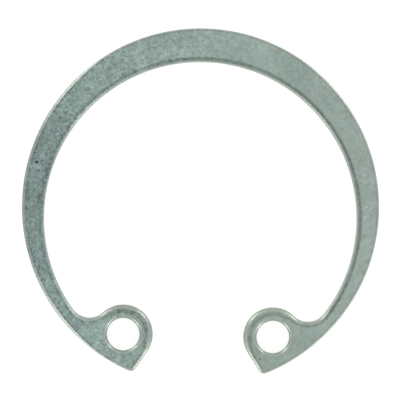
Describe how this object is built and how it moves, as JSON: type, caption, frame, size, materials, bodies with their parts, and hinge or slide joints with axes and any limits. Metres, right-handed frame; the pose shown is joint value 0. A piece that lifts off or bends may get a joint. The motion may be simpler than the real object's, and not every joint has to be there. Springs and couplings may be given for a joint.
{
  "type": "circlip retaining ring",
  "caption": "Flat open spring ring with a tapering band and a holed lug at each end; it snaps into a groove inside a bore and holds a part in place.",
  "frame": {"origin": "on the axis of the ring's outside circle, halfway through the thickness", "axes": "+Z along the ring's axis, out of the face with the rounded edges; +Y towards the widest part of the band; the mouth between the lugs faces -Y"},
  "size_m": [0.0234, 0.0226, 0.001],
  "materials": {
    "plated_steel": "thin dull zinc plating on blanked spring steel, grey-green and faintly mottled, brighter on the rounded edges"
  },
  "bodies": {
    "root": {"circlip": "plated_steel"}
  },
  "joints": []
}
